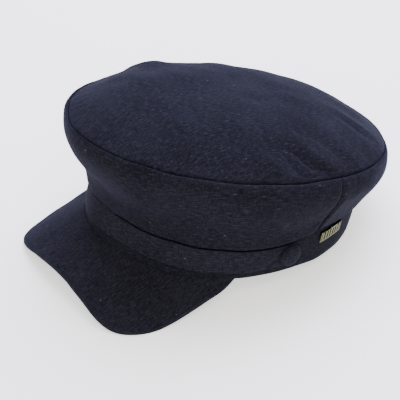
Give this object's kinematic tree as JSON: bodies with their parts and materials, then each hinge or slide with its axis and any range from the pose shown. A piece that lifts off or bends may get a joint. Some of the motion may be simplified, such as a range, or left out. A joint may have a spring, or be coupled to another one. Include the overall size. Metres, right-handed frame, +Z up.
{
  "type": "breton fisherman cap",
  "caption": "Soft wool cap with a domed oval crown, a stand-up head band, a buttoned strap across the front, a small brass plate and a short arched visor.",
  "frame": {"origin": "on the floor, under the middle of the cap's outline as it rests on its visor and the back of its band", "axes": "+Z up, the visor points to -Y, the wearer's left is +X"},
  "size_m": [0.202, 0.271, 0.1255],
  "materials": {
    "navy_wool": "matt felted wool twill, very dark navy",
    "brass": "aged brass, raised parts brighter than the field"
  },
  "bodies": {
    "root": {"crown_top": "navy_wool", "crown_side_front": "navy_wool", "crown_back_left": "navy_wool", "crown_back_right": "navy_wool", "band": "navy_wool", "visor": "navy_wool", "strap": "navy_wool", "button_left": "navy_wool", "button_right": "navy_wool", "name_plate": "brass"}
  },
  "joints": []
}
